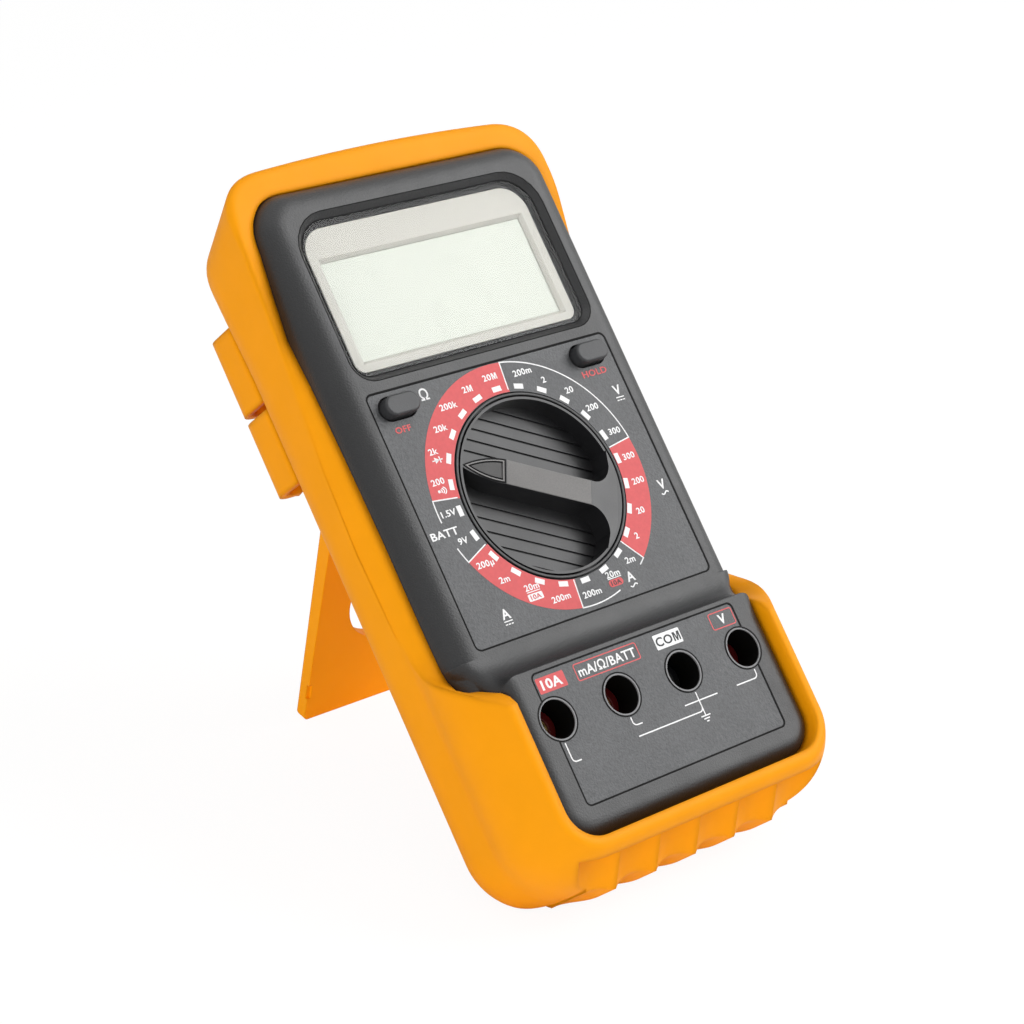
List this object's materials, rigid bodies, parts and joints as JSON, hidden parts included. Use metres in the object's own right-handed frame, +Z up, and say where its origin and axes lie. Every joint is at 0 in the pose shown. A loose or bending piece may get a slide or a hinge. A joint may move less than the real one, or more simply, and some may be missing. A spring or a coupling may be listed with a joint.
{
  "type": "digital multimeter",
  "caption": "Handheld digital multimeter in an orange rubber boot, leaning on its tilt stand, with a rotary range dial, a display, push buttons and safety sockets.",
  "frame": {"origin": "centre of the footprint on the surface it stands on", "axes": "+Z up, +X to the reader's right, -Y towards the reader; the face stands at about 48 degrees to the ground, leaning back"},
  "size_m": [0.0932, 0.135, 0.1443],
  "materials": {
    "boot_rubber": "moulded orange elastomer, satin",
    "stand_plastic": "moulded orange, satin",
    "case_plastic": "fine-grained dark grey",
    "knob_plastic": "satin black",
    "button_plastic": "dark",
    "clear_lens": "clear acrylic",
    "mask": "pale",
    "display_glass": "liquid crystal cell",
    "print_sheet": "printed sheet",
    "red_plastic": "red",
    "black_plastic": "black",
    "white_plastic": "white",
    "grey_rubber": "layered contact rubber",
    "board_green": "green solder mask",
    "brass": "plated",
    "spring_steel": "steel",
    "fuse_glass": "glass with plated caps",
    "battery_skin": "painted can",
    "lead_red": "insulated",
    "lead_black": "insulated"
  },
  "bodies": {
    "meter": {"boot": "boot_rubber", "probe_clips_right": "boot_rubber", "probe_clips_left": "boot_rubber", "front_case": "case_plastic", "rear_case": "case_plastic", "battery_cover": "case_plastic", "battery_cover_screw": "spring_steel", "case_screws": "spring_steel", "board_screws": "spring_steel", "power_switch": "black_plastic", "hold_switch": "black_plastic", "display_lens": "clear_lens", "display_mask": "mask", "display_glass": "display_glass", "display_holder": "white_plastic", "display_contact_strip": "grey_rubber", "main_board": "board_green", "dial_panel": "print_sheet", "socket_panel": "print_sheet", "fuse_ma": "fuse_glass", "fuse_10a": "fuse_glass", "fuse_clips": "brass", "battery": "battery_skin", "battery_snap": "black_plastic", "battery_lead_red": "lead_red", "battery_lead_black": "lead_black", "buzzer": "black_plastic", "measuring_chip": "black_plastic", "capacitors": "black_plastic", "overload_protectors": "black_plastic", "current_shunt": "brass", "socket_collar_10a": "red_plastic", "socket_sleeve_10a": "brass", "socket_collar_ma": "red_plastic", "socket_sleeve_ma": "brass", "socket_collar_com": "black_plastic", "socket_sleeve_com": "brass", "socket_collar_v": "red_plastic", "socket_sleeve_v": "brass"},
    "dial": {"knob": "knob_plastic", "switch_rotor": "white_plastic", "switch_wipers": "brass", "detent_balls": "spring_steel", "detent_springs": "spring_steel"},
    "tilt_stand": {"stand": "stand_plastic"},
    "power_key": {"power_button": "button_plastic", "power_plunger": "black_plastic"},
    "hold_key": {"hold_button": "button_plastic", "hold_plunger": "black_plastic"}
  },
  "joints": [
    {"name": "dial_turn", "type": "hinge", "parent": "meter", "child": "dial", "pos_m": [0, -0.00707, 0.07978], "axis": [0, -0.7496, 0.6619], "continuous": true},
    {"name": "stand_fold", "type": "hinge", "parent": "meter", "child": "tilt_stand", "pos_m": [0, 0.04058, 0.07906], "axis": [1, 0, 0], "range_deg": [-51.4, 0]},
    {"name": "power_press", "type": "slide", "parent": "meter", "child": "power_key", "axis": [0, -0.7496, 0.6619], "range_m": [-0.0008, 0], "stiffness_N_per_m": 1500, "springref_m": 0.0006},
    {"name": "hold_press", "type": "slide", "parent": "meter", "child": "hold_key", "axis": [0, -0.7496, 0.6619], "range_m": [-0.0008, 0], "stiffness_N_per_m": 1500, "springref_m": 0.0006}
  ]
}
